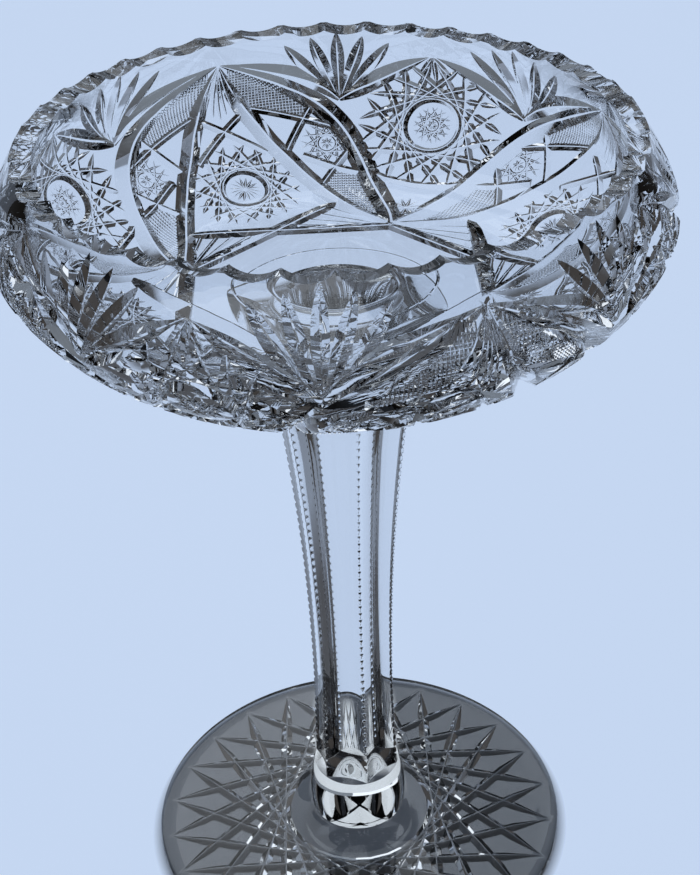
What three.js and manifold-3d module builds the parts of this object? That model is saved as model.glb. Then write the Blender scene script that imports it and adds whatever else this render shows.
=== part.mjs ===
// A tall cut-glass compote: a shallow bowl with a turned-in scalloped rim, on a fluted stem and a foot.
// Millimetres, +Z up, with the origin at the middle of the foot's underside.

import * as THREE from 'three';
import { mergeVertices } from 'three/addons/utils/BufferGeometryUtils.js';
import Module from 'manifold-3d';

const wasm = await Module();
wasm.setup();

// Foot: a round disc with a low boss, cut underneath with a star of long straight mitres
const footRadius = 68.5;
const footEdgeThickness = 4.5;
const footEdgeRound = 1.2;
const footBossRadius = 26;
const footBossThickness = 6.5;
const footCentreThickness = 9;
const starPoints = 24;
const starEdgeMargin = 2;
const starInnerRadius = 25;
const starMitreDepth = 1.9;

// Knop: the short clear swelling between the foot and the stem
const knopHeight = 18.5;
const knopRadius = 16.4;
const knopFootRadius = 15.6;

// Stem: a solid column with six hollow flutes, slim at the waist and flared to the bowl
const stemHeight = 161.5;
const stemFootRadius = 14.1;
const stemWaistRadius = 13.5;
const stemWaistHeight = 36;
const stemShoulderRadius = 19.1;
const stemShoulderDrop = 33;
const stemFlareRadius = 35;
const stemFlareBend = 6;
const stemFlareEdge = 2;
const fluteCount = 6;
const fluteDepthShare = 0.08;
const flareSwellShare = 0.11;
const ridgeTurn = 43;

// Wafer: the short neck of glass that joins the stem's flared top to the bowl
const waferRadius = 20;
const waferWaistRadius = 17;
const waferThickness = 9;

// Bowl: its outline runs from the rim out to the bulge and in to the flat underside
const bowlHeight = 56;
const rimRadius = 85;
const rimWall = 6;
const bulgeRadius = 94.7;
const bulgeDrop = 22.2;
const baseRadius = 55;
const wallThickness = 8.5;
const floorThickness = 8.5;
const floorRadius = 49;

// Rim: hollow scallops cut across the glass, deeper towards the inside, with small flats between them
const scallopsPerSector = 5;
const scallopDepth = 1.5;
const scallopSlope = 9;
const scallopGap = 2;

// Cut pattern: eight sectors, with two kinds of apex in turn. A drop is a way down the outside from
// the rim
const sectors = 8;
const upperArcWidth = 8;
const lowerArcWidth = 6.4;
const foldWidth = 7;
const octagonMitreWidth = 5.6;
const fanMitreWidth = 4.4;
const crossMitreWidth = 2.8;
const barMitreWidth = 3.2;
const hobstarMitreWidth = 1.9;
const apexDrop = 11;
const fanDrop = 31.5;
const fanTurn = 25;
const octagonRadius = 46.9;
const octagonOverrun = 29;
const hobstarDrop = 39.1;
const hobstarPoints = 8;
const hobstarInnerRadius = 10.4;
const hobstarReach = 20;

// A mitre's cutter stands this far clear of the glass, and ends this far above it where the cut fades
const clearOfGlass = 1.2;
const runOutLift = 0.3;

const degrees = Math.PI / 180;
const sectorTurn = 360 / sectors;
const firstApexTurn = sectorTurn / 2;
const upwards = new THREE.Vector3(0, 0, 1);
const downwards = new THREE.Vector3(0, 0, -1);

const group = new THREE.Group();

function addPiece(name, geometry, color) {
  const glass = new THREE.MeshStandardMaterial({ color, roughness: 0.02, metalness: 0 });
  const piece = new THREE.Mesh(geometry, glass);
  piece.name = name;
  group.add(piece);
}

// Closed meshes, and the solids that cuts are made in

function bareGeometry(geometry) {
  geometry.deleteAttribute('normal');
  geometry.deleteAttribute('uv');
  return mergeVertices(geometry);
}

function solidOf(geometry) {
  return new wasm.Manifold(new wasm.Mesh({
    numProp: 3,
    vertProperties: new Float32Array(geometry.attributes.position.array),
    triVerts: new Uint32Array(geometry.index.array),
  }));
}

function geometryOf(solid) {
  const mesh = solid.getMesh();
  const geometry = new THREE.BufferGeometry();
  geometry.setAttribute('position', new THREE.BufferAttribute(mesh.vertProperties, 3));
  geometry.setIndex(new THREE.BufferAttribute(mesh.triVerts, 1));
  return geometry;
}

// Where cuts cross, a crumb of glass can come free: it falls away, and the largest body is the piece
function withCuts(body, cutters) {
  const bodies = cutters.reduce((solid, cutter) => solid.subtract(cutter), body).decompose();
  return bodies.reduce((largest, other) => (other.volume() > largest.volume() ? other : largest));
}

// Outlines are radii and heights, from the axis at the bottom, up the outside and back to the axis

const at = (radius, height) => new THREE.Vector2(radius, height);

function curve(from, firstBend, secondBend, to, steps) {
  return new THREE.CubicBezierCurve(from, firstBend, secondBend, to).getPoints(steps);
}

function turned(outline, segments) {
  const geometry = new THREE.LatheGeometry(outline, segments);
  geometry.rotateX(Math.PI / 2);
  return bareGeometry(geometry);
}

// A bar of triangular section, with a right angle at its lower edge, which is the root of a mitre cut.
// Each stop of its route has a place on the glass, the direction out of it and the depth of the cut.
function mitreCutter(route) {
  const corners = [];
  route.forEach(({ place, outward, depth }, i) => {
    const before = route[Math.max(i - 1, 0)].place;
    const after = route[Math.min(i + 1, route.length - 1)].place;
    const sideways = outward.clone().cross(after.clone().sub(before)).normalize();
    const halfWidth = depth + clearOfGlass;
    const top = place.clone().addScaledVector(outward, clearOfGlass);
    corners.push(place.clone().addScaledVector(outward, -depth));
    corners.push(top.clone().addScaledVector(sideways, -halfWidth));
    corners.push(top.clone().addScaledVector(sideways, halfWidth));
  });
  const faces = [[0, 1, 2]];
  for (let i = 0; i < route.length - 1; i += 1) {
    for (let k = 0; k < 3; k += 1) {
      const a = 3 * i + k;
      const b = 3 * i + ((k + 1) % 3);
      faces.push([a, a + 3, b], [b, a + 3, b + 3]);
    }
  }
  const last = 3 * (route.length - 1);
  faces.push([last, last + 2, last + 1]);
  const geometry = new THREE.BufferGeometry().setFromPoints(corners);
  geometry.setIndex(faces.flat());
  return solidOf(geometry);
}

// Depth of a mitre: full where fade is 1, and just above the glass where fade is 0
const fadedDepth = (width, fade) => (width / 2) * fade - runOutLift * (1 - fade);

// Foot
const footTop = footCentreThickness;

function footOutline() {
  const boss = at(footBossRadius, footBossThickness);
  const collar = at(knopFootRadius, footTop);
  const bend = (footBossRadius - knopFootRadius) / 2;
  const collarDip = (footCentreThickness - footBossThickness) * 0.4;
  return [
    at(0, 0),
    at(footRadius - footEdgeRound, 0),
    at(footRadius, footEdgeRound),
    at(footRadius, footEdgeThickness - footEdgeRound),
    at(footRadius - footEdgeRound, footEdgeThickness),
    ...curve(boss, at(boss.x - bend, boss.y), at(collar.x + bend / 2, collar.y - collarDip), collar, 4),
    at(0, footTop),
  ];
}

// Each straight mitre joins two points of the star and passes the inner circle at its middle
function starMitres() {
  const halfLength = Math.sqrt((footRadius - starEdgeMargin) ** 2 - starInnerRadius ** 2);
  const fullDepthShare = 0.8;
  const stops = [[-1, 0], [-fullDepthShare, 1], [fullDepthShare, 1], [1, 0]];
  return Array.from({ length: starPoints }, (_, i) => {
    const turn = (i * 360 * degrees) / starPoints;
    return mitreCutter(stops.map(([share, fade]) => ({
      place: new THREE.Vector3(starInnerRadius, share * halfLength, 0).applyAxisAngle(upwards, turn),
      outward: downwards,
      depth: fadedDepth(2 * starMitreDepth, fade),
    })));
  });
}

const footBlank = solidOf(turned(footOutline(), 60));
addPiece('foot', geometryOf(withCuts(footBlank, starMitres())), 0xcfd8e2);

// Knop
const knopTop = footTop + knopHeight;

function knopOutline() {
  const swellFrom = at(knopRadius, footTop + knopHeight * 0.3);
  const swellTo = at(knopRadius, footTop + knopHeight * 0.6);
  return [
    at(0, footTop),
    ...curve(at(knopFootRadius, footTop), swellFrom, swellTo, at(stemFootRadius, knopTop), 6),
    at(0, knopTop),
  ];
}

addPiece('knop', turned(knopOutline(), 36), 0xd9e2ee);

// Stem
const stemTop = knopTop + stemHeight;

function stemOutline() {
  const foot = at(stemFootRadius, knopTop);
  const waist = at(stemWaistRadius, knopTop + stemWaistHeight);
  const shoulder = at(stemShoulderRadius, stemTop - stemShoulderDrop);
  const flare = at(stemFlareRadius, stemTop - stemFlareEdge);
  const footBend = stemWaistHeight / 3;
  const waistBend = (shoulder.y - waist.y) / 2;
  const shoulderBend = stemShoulderDrop / 2;
  const lean = (stemShoulderRadius - stemWaistRadius) / 3;
  return [
    at(0, knopTop),
    ...curve(foot, at(foot.x, foot.y + footBend), at(waist.x, waist.y - footBend), waist, 4),
    ...curve(
      waist,
      at(waist.x, waist.y + waistBend),
      at(shoulder.x - lean, shoulder.y - shoulderBend),
      shoulder,
      6,
    ).slice(1),
    ...curve(
      shoulder,
      at(shoulder.x + lean, shoulder.y + shoulderBend),
      at(shoulder.x + 2 * lean, flare.y - stemFlareBend),
      flare,
      8,
    ).slice(1),
    at(stemFlareRadius, stemTop),
    at(0, stemTop),
  ];
}

// The column is turned with the ridges' radius, and each point between two ridges is then drawn in
// to a hollow: the chord from ridge to ridge, sunk by a parabola that is deepest half way. Above the
// shoulder the hollows grow shallow, and at the top they swell past the chord.
function fluted(geometry) {
  const position = geometry.attributes.position;
  const fluteTurn = (2 * Math.PI) / fluteCount;
  for (let i = 0; i < position.count; i += 1) {
    const radius = Math.hypot(position.getX(i), position.getY(i));
    const angle = Math.atan2(position.getY(i), position.getX(i));
    const flute = Math.round(angle / fluteTurn);
    const share = (2 * angle) / fluteTurn - 2 * flute;
    const along = share * radius * Math.sin(fluteTurn / 2);
    const flared = (radius - stemShoulderRadius) / (stemFlareRadius - stemShoulderRadius);
    const depthShare = fluteDepthShare - flareSwellShare * Math.max(0, flared);
    const hollow = depthShare * radius * (1 - share ** 2);
    const across = radius * Math.cos(fluteTurn / 2) - hollow;
    const middle = (flute + 0.5) * fluteTurn + ridgeTurn * degrees;
    position.setX(i, across * Math.cos(middle) - along * Math.sin(middle));
    position.setY(i, across * Math.sin(middle) + along * Math.cos(middle));
  }
  return geometry;
}

const stepsPerFlute = 6;
addPiece('stem', fluted(turned(stemOutline(), fluteCount * stepsPerFlute)), 0xc3ccd6);

// Wafer
const waferTop = stemTop + waferThickness;

const waferOutline = [
  at(0, stemTop),
  ...curve(
    at(waferRadius, stemTop),
    at(waferWaistRadius, stemTop + waferThickness / 3),
    at(waferWaistRadius, waferTop - waferThickness / 3),
    at(waferRadius, waferTop),
    4,
  ),
  at(0, waferTop),
];
addPiece('bowl_wafer', turned(waferOutline, 48), 0xd3dce8);

// Bowl
const bowlBase = waferTop;
const rimHeight = bowlBase + bowlHeight;
const bulgeHeight = rimHeight - bulgeDrop;

// From the bulge up to the rim: upright at the bulge, and leaning in at the rim
function upperWall(bulge, rim) {
  const lean = (bulge - rim) * 0.34;
  return [at(bulge, bulgeHeight + bulgeDrop * 0.36), at(rim + lean, rimHeight - bulgeDrop * 0.3)];
}

// The outside from the rim's outer edge down to the bulge, in to the flat underside, and to the axis
function outsideOutline() {
  const [bulgeBend, rimBend] = upperWall(bulgeRadius, rimRadius);
  const undercut = (bulgeHeight - bowlBase) * 0.3;
  const sweep = (bulgeRadius - baseRadius) * 0.507;
  const outline = new THREE.Path();
  outline.moveTo(rimRadius, rimHeight);
  outline.bezierCurveTo(rimBend.x, rimBend.y, bulgeBend.x, bulgeBend.y, bulgeRadius, bulgeHeight);
  const lowerBend = bulgeHeight - undercut;
  outline.bezierCurveTo(bulgeRadius, lowerBend, baseRadius + sweep, bowlBase, baseRadius, bowlBase);
  outline.lineTo(0, bowlBase);
  return outline;
}

// The inside from the rim's inner edge down to the flat floor and to the axis
function insideOutline() {
  const rim = at(rimRadius - rimWall, rimHeight);
  const bulge = at(bulgeRadius - wallThickness, bulgeHeight);
  const floor = at(floorRadius, bowlBase + floorThickness);
  const [bulgeBend, rimBend] = upperWall(bulge.x, rim.x);
  const undercut = (bulge.y - floor.y) * 0.34;
  const sweep = (bulge.x - floor.x) * 0.507;
  return [
    ...curve(rim, rimBend, bulgeBend, bulge, 2),
    ...curve(bulge, at(bulge.x, bulge.y - undercut), at(floor.x + sweep, floor.y), floor, 4).slice(1),
    at(0, floor.y),
  ];
}

const outside = outsideOutline();
const outsideLength = outside.getLength();

function bowlBlank() {
  const [upper, lower] = outside.curves;
  const downTheOutside = [...upper.getPoints(2), ...lower.getPoints(6).slice(1)];
  const outline = [at(0, bowlBase), ...downTheOutside.reverse(), ...insideOutline()];
  return solidOf(turned(outline, sectors * 6));
}

// A place on the outside, by its turn round the bowl and its drop from the rim
function onOutside(turn, drop) {
  const share = Math.min(drop / outsideLength, 1);
  const spot = outside.getPointAt(share);
  const tangent = outside.getTangentAt(share);
  const around = new THREE.Vector3(Math.cos(turn * degrees), Math.sin(turn * degrees), 0);
  return {
    place: around.clone().multiplyScalar(spot.x).setZ(spot.y),
    outward: around.clone().multiplyScalar(-tangent.y).setZ(tangent.x),
  };
}

// A mitre along a smooth line through stops, each a turn from the motif's middle and a drop
function mitre({ middle, side, stops, width, steps, fade }) {
  const places = stops.map(([turn, drop]) => new THREE.Vector3(turn, drop, 0));
  const line = new THREE.CatmullRomCurve3(places);
  return mitreCutter(line.getPoints(steps).map((stop, i) => ({
    ...onOutside(middle + side * stop.x, stop.y),
    depth: fadedDepth(width, fade(i / steps)),
  })));
}

const taperShare = 0.3;
const fadesIn = (share) => Math.min(1, share / taperShare);
const leafSwell = (share) => Math.sin(Math.PI * 0.9 * share);
const bladeSwell = (share) => Math.sin(Math.PI * share ** 0.75);
const throughout = () => 1;
const runsOutTwice = (share) => 1 - (2 * share - 1) ** 2;

const octagonDrop = outsideLength - octagonRadius;
const upperArc = [
  [0, apexDrop], [6, 15.5], [12, 21.2], [18, 29], [22, 34.8], [26, 42.5], [30, 53.3], [34.5, 66],
  [sectorTurn, octagonDrop],
];
const lowerArc = [
  [0, apexDrop], [2.8, 22], [5, 31], [7.3, 38], [9.7, 45], [12.9, 52], [16.8, 60], [23.6, 71], [32, 80.5],
  [sectorTurn, octagonDrop],
];
const fanTips = [[-10.7, 8], [-5.3, 5.5], [0, 3.6], [5.3, 5.5], [10.7, 8]];
const crossLines = [
  [[4.9, 30.6], [26, 42.3]],
  [[12, 50.5], [19.7, 31.3]],
  [[27.9, 47.6], [19.7, 64.7]],
  [[-5.2, 32.2], [8.2, 48.1]],
];
const barLine = [[-28.8, 51], [-19.5, 57], [-11, 59.5], [0, 62.3], [11, 59.5], [19.5, 57], [28.8, 51]];

// From an apex down to the root of the next fan, a little steeper in its second half
function foldTo(turn) {
  const halfWayDrop = apexDrop + (fanDrop - apexDrop) * 0.36;
  return [[0, apexDrop], [turn / 2, halfWayDrop], [turn, fanDrop]];
}

// Long curved mitres fall both ways from the first kind of apex to the octagon's corners under the
// second kind. Each apex also has a short fold each way to a fan, and a fan has five blades.
function wallMitres() {
  const cutters = [];
  for (let apex = 0; apex < sectors; apex += 1) {
    const isFirstKind = apex % 2 === 0;
    const middle = firstApexTurn + apex * sectorTurn;
    const toFan = isFirstKind ? fanTurn : sectorTurn - fanTurn;
    const lines = [{ stops: foldTo(toFan), width: foldWidth, steps: 4, fade: leafSwell }];
    if (isFirstKind) {
      lines.push({ stops: upperArc, width: upperArcWidth, steps: 9, fade: fadesIn });
      lines.push({ stops: lowerArc, width: lowerArcWidth, steps: 9, fade: fadesIn });
      crossLines.forEach((stops) => {
        lines.push({ stops, width: crossMitreWidth, steps: 2, fade: throughout });
      });
    }
    [1, -1].forEach((side) => {
      lines.forEach((line) => cutters.push(mitre({ middle, side, ...line })));
    });
    const fan = middle + toFan;
    fanTips.forEach(([turn, drop]) => {
      const stops = [[turn, drop], [turn / 2, (drop + fanDrop) / 2], [0, fanDrop]];
      const blade = { stops, width: fanMitreWidth, steps: 3, fade: bladeSwell };
      cutters.push(mitre({ middle: fan, side: 1, ...blade }));
    });
  }
  return cutters;
}

// Below each apex of the second kind hangs a hobstar: straight mitres that all pass its middle at one
// distance, laid out flat on the glass, over a bar that joins the two leaves beside it
function hobstarMitres() {
  const cutters = [];
  for (let apex = 1; apex < sectors; apex += 2) {
    const middle = firstApexTurn + apex * sectorTurn;
    const bar = { stops: barLine, width: barMitreWidth, steps: 6, fade: throughout };
    cutters.push(mitre({ middle, side: 1, ...bar }));
    for (let point = 0; point < hobstarPoints; point += 1) {
      const angle = (2 * Math.PI * point) / hobstarPoints;
      const stops = [-1, 1].map((end) => {
        const across = hobstarInnerRadius * Math.sin(angle) + end * hobstarReach * Math.cos(angle);
        const down = hobstarInnerRadius * Math.cos(angle) - end * hobstarReach * Math.sin(angle);
        const drop = hobstarDrop + down;
        const radius = outside.getPointAt(drop / outsideLength).x;
        return [across / radius / degrees, drop];
      });
      const chord = { stops, width: hobstarMitreWidth, steps: 2, fade: runsOutTwice };
      cutters.push(mitre({ middle, side: 1, ...chord }));
    }
  }
  return cutters;
}

// The octagon under the bowl: straight mitres that cross below each apex of the first kind and run on
function octagonMitres() {
  const halfTurn = (sectorTurn / 2) * degrees;
  const edgeDistance = octagonRadius * Math.cos(halfTurn);
  const halfEdge = octagonRadius * Math.sin(halfTurn);
  const stops = [[-halfEdge, 1], [0, 1], [halfEdge, 1], [halfEdge + octagonOverrun, 0.6]];
  return Array.from({ length: sectors }, (_, edge) => {
    const turn = edge * sectorTurn * degrees;
    const side = edge % 2 === 0 ? 1 : -1;
    return mitreCutter(stops.map(([along, fade]) => ({
      place: new THREE.Vector3(edgeDistance, side * along, bowlBase).applyAxisAngle(upwards, turn),
      outward: downwards,
      depth: fadedDepth(octagonMitreWidth, fade),
    })));
  });
}

// A scallop is cut by a round bar laid across the rim, with its lowest line at the scallop's depth at
// the outer edge and tipped down towards the inside
function rimScallops() {
  const count = sectors * scallopsPerSector;
  const halfWidth = (Math.PI * rimRadius) / count - scallopGap / 2;
  const barRadius = halfWidth ** 2 / (2 * scallopDepth) + scallopDepth / 2;
  const slope = scallopSlope * degrees;
  const barLength = 3 * rimWall;
  const overRim = barRadius / Math.cos(slope) - (rimWall / 2) * Math.tan(slope);
  const barHeight = rimHeight - scallopDepth + overRim;
  return Array.from({ length: count }, (_, i) => {
    const bar = new THREE.CylinderGeometry(barRadius, barRadius, barLength, 14);
    bar.rotateZ(-Math.PI / 2);
    bar.rotateY(-slope);
    bar.translate(rimRadius - rimWall / 2, 0, barHeight);
    bar.rotateZ(((i + 0.5) * 360 * degrees) / count);
    return solidOf(bareGeometry(bar));
  });
}

const bowlCuts = [...rimScallops(), ...wallMitres(), ...hobstarMitres(), ...octagonMitres()];
addPiece('bowl', geometryOf(withCuts(bowlBlank(), bowlCuts)), 0xd6dfeb);

export default group;
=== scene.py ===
"""A cut-glass compote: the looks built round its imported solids, in metres, +Z up, seen from -Y."""

import bpy
import numpy as np
from mathutils import Matrix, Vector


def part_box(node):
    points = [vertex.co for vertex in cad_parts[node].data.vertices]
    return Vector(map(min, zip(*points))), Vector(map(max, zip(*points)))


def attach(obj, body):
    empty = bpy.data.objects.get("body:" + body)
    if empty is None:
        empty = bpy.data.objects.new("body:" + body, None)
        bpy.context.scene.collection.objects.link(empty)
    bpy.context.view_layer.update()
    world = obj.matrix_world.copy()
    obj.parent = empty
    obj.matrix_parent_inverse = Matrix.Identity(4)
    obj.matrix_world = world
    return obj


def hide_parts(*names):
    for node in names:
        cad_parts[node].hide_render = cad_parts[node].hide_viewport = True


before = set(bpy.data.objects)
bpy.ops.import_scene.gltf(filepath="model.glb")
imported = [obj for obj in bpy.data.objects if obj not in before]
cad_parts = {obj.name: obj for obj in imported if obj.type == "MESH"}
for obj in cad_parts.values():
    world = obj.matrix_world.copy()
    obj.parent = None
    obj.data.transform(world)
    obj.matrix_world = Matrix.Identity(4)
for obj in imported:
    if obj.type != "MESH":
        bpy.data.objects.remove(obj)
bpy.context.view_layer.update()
scene = bpy.context.scene
mm = 0.001


# Camera: a long lens in front of the compote and well above its rim, looking down into the bowl, and
# tilted a little, so that the compote leans to the left of the picture as in the photograph.
camera_distance = 438.3 * mm
camera_height = 437.5 * mm
look_down, look_aside, camera_tilt = np.radians([32.75, 0.3, -2.41])
lens_length, film_side = 71.7, 36.0

level_ahead = np.array([np.sin(look_aside), np.cos(look_aside), 0.0])
level = np.array([np.cos(look_aside), -np.sin(look_aside), 0.0])
ahead = np.cos(look_down) * level_ahead - [0.0, 0.0, np.sin(look_down)]
upright = np.cross(level, ahead)
right = np.cos(camera_tilt) * level + np.sin(camera_tilt) * upright
up = np.cos(camera_tilt) * upright - np.sin(camera_tilt) * level

camera_data = bpy.data.cameras.new("camera")
camera_data.lens = lens_length
camera_data.sensor_width = film_side
camera_data.clip_start = 10 * mm
camera = bpy.data.objects.new("camera", camera_data)
turn_matrix = Matrix([list(row) for row in np.column_stack([right, up, -ahead])]).to_4x4()
camera.matrix_world = Matrix.Translation((0.0, -camera_distance, camera_height)) @ turn_matrix
scene.collection.objects.link(camera)
scene.camera = camera


# Stage: a sheet of clear table glass over a pale floor far below, which glows softly behind the compote and
# is dim in front of it, so that the cuts have dark flanks. The foot stands on painted shadow, a dark grey
# disc, with a strip of painted glow in it, in a dim room that is lighter high behind. None of it is part of
# the compote.
floor_reach, floor_depth = 9.0, 0.72
paper_colour, paper_roughness = (0.3, 0.3, 0.32, 1), 0.7
glow_colour, unlit_colour = (0.58, 0.69, 0.90, 1), (0.05, 0.05, 0.055, 1)
table_reach, table_drop, table_tint = 1.6, 0.15 * mm, (0.93, 0.955, 0.96, 1)
# Painted shadow and painted glow under the foot: a dark grey disc, with a glowing pale strip in it. The same
# grey is the table's faint sheen.
table_sheen, painted_shadow_cover = 0.05, 0.88
sheen_and_painted_shadow_colour, sheen_and_painted_shadow_roughness, painted_glow_colour = (0.10, 0.10, 0.11, 1), 0.25, (0.66, 0.71, 0.75, 1)
sky_stops = [(0.5, (0.05, 0.046, 0.044, 1)), (0.9, (0.20, 0.23, 0.27, 1))]
sky_aim = (0.0, 0.85, 0.53)
window_place, window_aim, window_size = (-0.6, 1.6, 2.2), (0.0, 0.0, 0.2), 1.8
window_power, window_tint = 9, (0.9, 0.95, 1.0)
light_bounces, brightest_bounce = 32, 6

# Soft edges, each from where a thing is absent to where it is there in full. The lit part of the floor
# is spread wider, the farther it is behind.
lit_spread, lit_side, lit_near, lit_end = 0.9, (0.75, 0.4), (0.28, 0.46), (4.2, 3.6)
far_light, far_edge = 0.32, (1.7, 2.7)
# Edges of the painted shadow under the foot and of its strip of painted glow
painted_shadow_edge = (71.5 * mm, 67 * mm)
painted_glow_side, painted_glow_near, painted_glow_end = (16 * mm, 11 * mm), (4 * mm, 12 * mm), (66 * mm, 56 * mm)


class Signal:
    """A socket that carries one number; +, - and * with numbers or other signals give new signals."""

    def __init__(self, finish, socket):
        self.finish = finish
        self.socket = socket

    def maths(self, operation, first, second):
        """What one Math node makes of two numbers or signals."""
        node = self.finish.node("ShaderNodeMath", {"operation": operation}, {0: first, 1: second})
        return Signal(self.finish, node.outputs[0])

    def __add__(self, other):
        return self.maths("ADD", self, other)

    def __sub__(self, other):
        return self.maths("SUBTRACT", self, other)

    def __rsub__(self, other):
        return self.maths("SUBTRACT", other, self)

    def __mul__(self, other):
        return self.maths("MULTIPLY", self, other)

    def __abs__(self):
        return self.maths("ABSOLUTE", self, 0)

    __radd__ = __add__
    __rmul__ = __mul__

    def or_more(self, other):
        """The higher of the two."""
        return self.maths("MAXIMUM", self, other)

    def rise(self, start, end):
        """0 up to start and 1 from end on, or the other way round where end comes before start."""
        sockets = {"Value": self, "From Min": start, "From Max": end}
        return Signal(self.finish, self.finish.node("ShaderNodeMapRange", {}, sockets).outputs["Result"])


class Finish:
    """A material or world, and the one way that its nodes are made."""

    def __init__(self, owner):
        owner.use_nodes = True
        self.owner = owner
        self.tree = owner.node_tree
        self.tree.nodes.clear()

    def node(self, kind, settings, sockets):
        """A node of a kind: its settings and a ramp's stops first, then its sockets' values or links."""
        made = self.tree.nodes.new(kind)
        stops = settings.pop("stops", [])
        for name, value in settings.items():
            setattr(made, name, value)
        for place, colour in stops[2:]:
            made.color_ramp.elements.new(1.0)
        for stop, (place, colour) in zip(made.color_ramp.elements if stops else [], stops):
            stop.position, stop.color = place, colour
        for name, value in sockets.items():
            if isinstance(value, Signal):
                value = value.socket
            if isinstance(value, bpy.types.NodeSocket):
                self.tree.links.new(value, made.inputs[name])
            else:
                made.inputs[name].default_value = value
        return made

    def whereabouts(self):
        """Where on the object a point is: its x and y, and its distance from the origin."""
        spot = self.node("ShaderNodeTexCoord", {}, {}).outputs["Object"]
        parts = self.node("ShaderNodeSeparateXYZ", {}, {"Vector": spot}).outputs
        distance = self.node("ShaderNodeVectorMath", {"operation": "LENGTH"}, {0: spot}).outputs["Value"]
        return Signal(self, parts["X"]), Signal(self, parts["Y"]), Signal(self, distance)

    def mixed(self, share, first, second):
        """The first colour where share is 0 and the second where it is 1."""
        sockets = {"Factor": share, "A": first, "B": second}
        return self.node("ShaderNodeMix", {"data_type": "RGBA"}, sockets).outputs["Result"]

    def surface(self, shader):
        """Makes a shader the one that shows."""
        self.node("ShaderNodeOutputMaterial", {}, {"Surface": shader.outputs[0]})

    def noise(self, size, detail):
        """Soft cloudy noise, from 0 to 1, with lumps of about the given size in metres."""
        place = self.node("ShaderNodeTexCoord", {}, {}).outputs["Object"]
        made = self.node("ShaderNodeTexNoise", {}, {"Vector": place, "Scale": 1 / size, "Detail": detail})
        return Signal(self, made.outputs["Fac"])


def made_object(name, vertices, lots, materials):
    """An object at the origin whose mesh has these vertices, in metres, and the faces of each lot, which
    is an array of faces that have one number of corners."""
    mesh = bpy.data.meshes.new(name)
    mesh.from_pydata(vertices, [], [face for lot in lots for face in lot.tolist()])
    mesh.update()
    for material in materials:
        mesh.materials.append(material)
    piece = bpy.data.objects.new(name, mesh)
    scene.collection.objects.link(piece)
    return piece


def level_square(name, reach, drop, material):
    """A square sheet under the compote, as far below the origin as the drop."""
    corners = [(x * reach, y * reach, -drop) for x, y in ((-1, -1), (1, -1), (1, 1), (-1, 1))]
    return made_object(name, corners, [np.array([[0, 1, 2, 3]])], [material])


# The floor is lit in full where the camera sees it, behind the compote, and faintly far out on all
# sides. A distance is from the middle of the compote's foot, so on the floor it counts the depth too.
paper = Finish(bpy.data.materials.new("studio_paper"))
aside, behind, distance = paper.whereabouts()
seen = (abs(aside) - lit_spread * behind).rise(*lit_side) * behind.rise(*lit_near) * behind.rise(*lit_end)
lit = seen.or_more(far_light * distance.rise(*far_edge))
paper_look = {
    "Base Color": paper_colour,
    "Roughness": paper_roughness,
    "Emission Color": paper.mixed(lit, unlit_colour, glow_colour),
    "Emission Strength": 1.0,
}
paper.surface(paper.node("ShaderNodeBsdfPrincipled", {}, paper_look))
level_square("studio_floor", floor_reach, floor_depth, paper.owner)

# Painted shadow: a dark grey disc under the foot, as wide as the foot, which shows only from above. Its
# strip of painted glow starts at the knop.
table = Finish(bpy.data.materials.new("table_glass_painted_shade"))
aside, behind, distance = table.whereabouts()
from_above = 1 - Signal(table, table.node("ShaderNodeNewGeometry", {}, {}).outputs["Backfacing"])
# Painted shadow where the foot stands, and painted glow in a strip behind the knop
painted_shadow = distance.rise(*painted_shadow_edge) * from_above
painted_glow_strip = abs(aside).rise(*painted_glow_side) * behind.rise(*painted_glow_near) * distance.rise(*painted_glow_end)
sheen_and_painted_light_look = {
    "Base Color": sheen_and_painted_shadow_colour,
    "Roughness": sheen_and_painted_shadow_roughness,
    "Emission Color": table.mixed(painted_glow_strip, (0, 0, 0, 1), painted_glow_colour),
    "Emission Strength": 1.0,
}
sheen_and_painted_light = table.node("ShaderNodeBsdfPrincipled", {}, sheen_and_painted_light_look)
clear = table.node("ShaderNodeBsdfTransparent", {}, {"Color": table_tint})
table_mix = {0: table_sheen * from_above + painted_shadow_cover * painted_shadow, 1: clear.outputs[0], 2: sheen_and_painted_light.outputs[0]}
table.surface(table.node("ShaderNodeMixShader", {}, table_mix))
level_square("studio_table", table_reach, table_drop, table.owner)

studio = Finish(bpy.data.worlds.new("studio"))
scene.world = studio.owner
sky_way = studio.node("ShaderNodeTexCoord", {}, {}).outputs["Generated"]
facing = studio.node("ShaderNodeVectorMath", {"operation": "DOT_PRODUCT"}, {0: sky_way, 1: sky_aim})
sky = studio.node("ShaderNodeValToRGB", {"stops": sky_stops}, {"Fac": facing.outputs["Value"]})
backdrop = studio.node("ShaderNodeBackground", {}, {"Color": sky.outputs["Color"], "Strength": 1.0})
studio.node("ShaderNodeOutputWorld", {}, {"Surface": backdrop.outputs[0]})

# One big soft window, high behind the compote and a little to its left
lamp = bpy.data.lights.new("window", "AREA")
lamp.size, lamp.energy, lamp.color = window_size, window_power, window_tint
window = bpy.data.objects.new("window", lamp)
away = Matrix.Translation(window_place).translation - Matrix.Translation(window_aim).translation
window.matrix_world = Matrix.Translation(window_place) @ away.to_track_quat("Z", "Y").to_matrix().to_4x4()
scene.collection.objects.link(window)

scene.view_settings.view_transform = "Standard"
scene.cycles.max_bounces = light_bounces
scene.cycles.transmission_bounces = light_bounces
scene.cycles.transparent_max_bounces = light_bounces
scene.cycles.sample_clamp_indirect = brightest_bounce


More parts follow.
